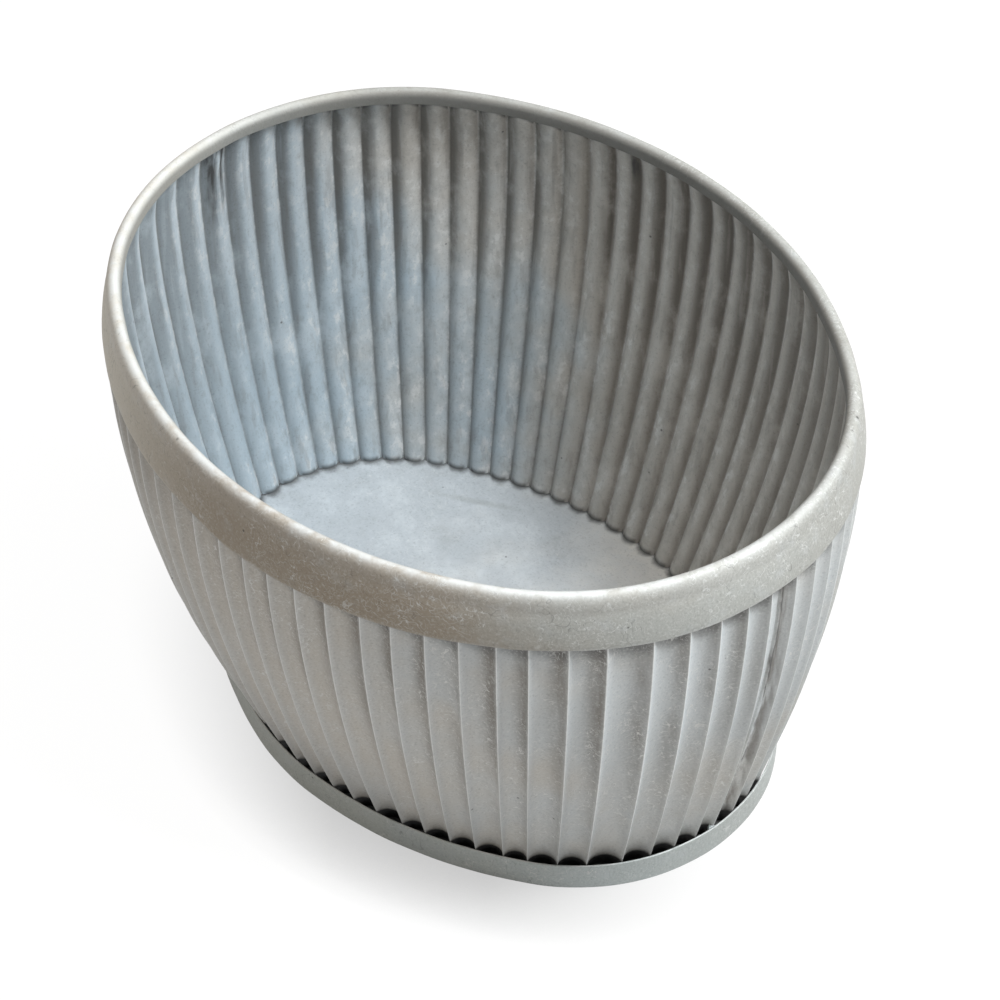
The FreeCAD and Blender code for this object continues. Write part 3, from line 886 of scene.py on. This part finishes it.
def band_zinc(name, cool, warm, pale, seed, turn, pits=()):
    """Finish of the rim or the foot band: warm in front, pale at the left, brownish with painted shade
    at the back, painted light on the upper band, and wear with a painted highlight on the crest.
    """
    finish = Finish(name, metallic=0.2, roughness=0.68)
    wear, lip = finish.fact("wear"), finish.fact("lip")
    x, y, z = finish.axes()
    side = finish.plus(y, finish.times(x, BAND_TURN), finish.drift(0.4, 11, 4.0, seed))
    warm = finish.blend(finish.ramp(x, *LEFT_END), warm, pale)
    paint = finish.blend(finish.ramp(side, *BANDS_COOL), warm, cool)
    # Painted light: the upper band below the crest is lightened towards the front
    shoulder = finish.times(finish.ramp(z, *SHOULDER_PALE), finish.ramp(y, *FRONT_SIDE))
    paint = finish.layer(paint, WARM_BLOOM, 0.3, shoulder)
    # Brownish tone and painted shade on the far side of the band
    back = finish.ramp(finish.plus(y, finish.times(x, turn)), *BACK_OF_BANDS)
    paint = finish.layer(paint, LIP_BROWN, 0.3, back)
    bloom = finish.ramp(finish.noise(45, 5.0, seed + 1, roughness=0.65), 0.52, 0.72)
    paint = finish.layer(paint, BLOOM, 0.25, bloom)
    few = finish.plus(finish.times(finish.ramp(x, *FEW_SCRATCHES_BAND), 0.55), 0.25)
    paint, relief = finish.worn(paint, few, seed + 2)
    paint = finish.layer(paint, GRIME_AND_SHADE, 0.4, finish.hairs(scale=85, width=0.012, seed=seed + 9))
    patchy = finish.ramp(finish.noise(70, 3.0, seed + 3), 0.3, 0.6)
    # Worn crest with a painted highlight, stronger at the front
    wear_and_highlight = finish.plus(finish.times(finish.ramp(y, *FRONT_CREST), 0.6), 0.2)
    paint = finish.layer(paint, CREST_WEAR_AND_HIGHLIGHT, wear_and_highlight, wear, patchy)
    # Painted shade, with a brownish tone, on the inner face of the bead at the far side
    paint = finish.layer(paint, LIP_BROWN, 0.55, finish.ramp(lip, -0.2, 0.6), back)
    paint = finish.layer(paint, LIP_SHADE, 0.65, lip)
    for centre in pits:
        paint = finish.layer(paint, GRIME_AND_SHADE, 0.8, finish.spot(centre, PIT_RADII))
    return finish.finish(paint, relief, BAND_RELIEF)


def floor_zinc():
    """Finish of the floor: bluish and darker towards -X, warm and lighter towards +X and +Y as painted
    light where the rim's shadow falls, with pale bloom, two smears, and dirt and painted shade along
    the ribs.
    """
    finish = Finish("floor_zinc", metallic=0.25, roughness=0.5)
    x, y, _ = finish.axes()
    # Painted light: lighter and warmer towards +X and +Y, where the rim's shadow falls on the floor
    across = finish.plus(x, y, finish.drift(0.6, 10, 5.0, 31))
    paint = finish.blend(finish.ramp(across, *FLOOR_WARM_END), FLOOR_COOL, FLOOR_WARM)
    bloom = finish.noise(32, 5.0, 32, roughness=0.7)
    paint = finish.layer(paint, BLOOM, 0.5, finish.ramp(bloom, 0.48, 0.68))
    paint = finish.layer(paint, STAIN, 0.16, finish.ramp(bloom, 0.5, 0.3))
    paint, relief = finish.worn(paint, 0.3, 33)
    # Dirt and painted shade on the floor along the foot of the ribs
    dirt_and_shade = finish.plus(finish.fact("dirt_and_shade"), finish.times(finish.noise(140, 3.0, 36), 0.5))
    paint = finish.layer(paint, GRIME_AND_SHADE, 0.85, finish.ramp(dirt_and_shade, 0.75, 1.3))
    for centre, radii in FLOOR_SMEARS:
        paint = finish.layer(paint, STAIN, 0.22, finish.spot(centre, radii, SMEAR_TURN))
    return finish.finish(paint, relief, FINE_RELIEF)


def solder_metal():
    finish = Finish("solder", metallic=0.25, roughness=0.45)
    clouds = finish.ramp(finish.noise(300, 3.0, 41), 0.36, 0.64)
    return finish.finish(finish.blend(clouds, SOLDER_GREEN, BLOOM), clouds, BAND_RELIEF)


def light_path(tree):
    """1 for rays from the camera, and for those that reach a surface by a mirror or through glass."""
    path = add_node(tree, "ShaderNodeLightPath").outputs
    total = path["Is Camera Ray"]
    for name in ("Is Glossy Ray", "Is Transmission Ray"):
        larger = add_node(tree, "ShaderNodeMath", {0: total, 1: path[name]}, operation="MAXIMUM")
        total = larger.outputs[0]
    return total


def contact_shade(tree):
    """Strength of the floor's own glow, less beside the foot."""
    lean = add_node(tree, "ShaderNodeCombineXYZ", dict(enumerate(CONTACT_LEAN))).outputs[0]
    inputs = {"Distance": CONTACT_REACH, "Normal": lean}
    near = add_node(tree, "ShaderNodeAmbientOcclusion", inputs).outputs["AO"]
    inputs = {0: add_node(tree, "ShaderNodeTexCoord").outputs["Object"], 1: CONTACT_LINE}
    along = add_node(tree, "ShaderNodeVectorMath", inputs, operation="DOT_PRODUCT").outputs["Value"]
    inputs = {0: along, 1: CONTACT_CENTRE}
    past = add_node(tree, "ShaderNodeMath", inputs, operation="SUBTRACT").outputs[0]
    away = add_node(tree, "ShaderNodeMath", {0: past}, operation="ABSOLUTE").outputs[0]
    faint = add_node(tree, "ShaderNodeMapRange", {"Value": away, **CONTACT_FADE}).outputs[0]
    inputs = {"Value": near, "To Min": faint, "To Max": FLOOR_GLOW}
    return add_node(tree, "ShaderNodeMapRange", inputs).outputs[0]


def stage():
    """White floor: a glow of its own in the picture, and matt white that keeps the shadow."""
    bpy.ops.mesh.primitive_plane_add(size=FLOOR_SIDE)
    ground = bpy.context.object
    ground.name = "studio_floor"
    material = bpy.data.materials.new("studio_white")
    material.use_nodes = True
    tree = material.node_tree
    tree.nodes.remove(tree.nodes["Principled BSDF"])
    matt = add_node(tree, "ShaderNodeBsdfDiffuse", {"Color": rgba(FLOOR_WHITE)}).outputs[0]
    seen = add_node(tree, "ShaderNodeBsdfDiffuse", {"Color": rgba(FLOOR_SEEN)})
    glow = add_node(tree, "ShaderNodeEmission", {"Strength": contact_shade(tree)})
    both = add_node(tree, "ShaderNodeAddShader", {0: seen.outputs[0], 1: glow.outputs[0]}).outputs[0]
    mix = add_node(tree, "ShaderNodeMixShader", {0: light_path(tree), 1: matt, 2: both})
    tree.links.new(mix.outputs[0], tree.nodes["Material Output"].inputs["Surface"])
    ground.data.materials.append(material)


def world():
    """Soft warm fill from all round, which the camera sees as plain white."""
    scene = bpy.context.scene
    scene.view_settings.view_transform = "Standard"
    scene.world = bpy.data.worlds.new("studio")
    scene.world.use_nodes = True
    tree = scene.world.node_tree
    fill = tree.nodes["Background"]
    fill.inputs["Color"].default_value = rgba(FILL_COLOUR)
    fill.inputs["Strength"].default_value = FILL_STRENGTH
    white = add_node(tree, "ShaderNodeBackground", {"Color": (1, 1, 1, 1)}).outputs[0]
    inputs = {0: light_path(tree), 1: fill.outputs[0], 2: white}
    mix = add_node(tree, "ShaderNodeMixShader", inputs)
    tree.links.new(mix.outputs[0], tree.nodes["World Output"].inputs["Surface"])


def put_up(name, data, place, direction):
    """Object for a lamp or a camera at a place, looking in a direction."""
    holder = bpy.data.objects.new(name, data)
    holder.location = place
    holder.rotation_euler = direction.to_track_quat("-Z", "Y").to_euler()
    bpy.context.scene.collection.objects.link(holder)
    return holder


def light(name, place, size, power, tint):
    lamp = bpy.data.lights.new(name, "AREA")
    lamp.size = size
    lamp.energy = power
    lamp.color = tint
    put_up(name, lamp, place, Vector(LAMP_TARGET) - Vector(place))


def camera():
    level = math.cos(CAMERA_ELEVATION)
    back = Vector((math.sin(CAMERA_AZIMUTH) * level, -math.cos(CAMERA_AZIMUTH) * level,
                   math.sin(CAMERA_ELEVATION)))
    data = bpy.data.cameras.new("photo_camera")
    data.lens = CAMERA_LENS
    data.sensor_width = CAMERA_SENSOR
    place = Vector(CAMERA_TARGET) + CAMERA_DISTANCE * back
    bpy.context.scene.camera = put_up("photo_camera", data, place, -back)


flutes = Flutes()
back_wall = sheet_mesh("back_wall", wall_columns(flutes, -1, LEFT_SEAM, False))
front_wall = sheet_mesh("front_wall", wall_columns(flutes, LEFT_SEAM, RIGHT_SEAM, True))
rim = ring_mesh("rim_band_strip", RIDGE_TOP, rim_profile(), RIM_COLUMNS, rim_shape)
foot = ring_mesh("foot_band_strip", FOOT_AXES, foot_profile(), FOOT_COLUMNS, foot_shape)
floor = floor_mesh("floor_sheet", flutes)
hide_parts("back_wall_sheet")
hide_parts("front_wall_sheet")
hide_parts("rim_band")
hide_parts("foot_band")
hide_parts("floor_plate")
walls = WallZinc().made()
rim_finish = band_zinc("rim_zinc", BAND_COOL, BAND_WARM, BAND_PALE, 51, RIM_BACK_TURN, RIM_PITS)
foot_finish = band_zinc("foot_zinc", FOOT_COOL, FOOT_WARM, FOOT_WARM, 61, FOOT_BACK_TURN)
for piece, material, slot in (
        (back_wall, walls, "wall_zinc"),
        (front_wall, walls, "wall_zinc"),
        (rim, rim_finish, "band_zinc"),
        (foot, foot_finish, "band_zinc"),
        (floor, floor_zinc(), "floor_zinc")):
    piece.data.materials.append(material)
solder = solder_metal()
for node in ("right_seam_solder", "left_seam_solder"):
    frame["nodes"][node].data.materials[0] = solder
stage()
world()
for lamp in LAMPS:
    light(*lamp)
camera()
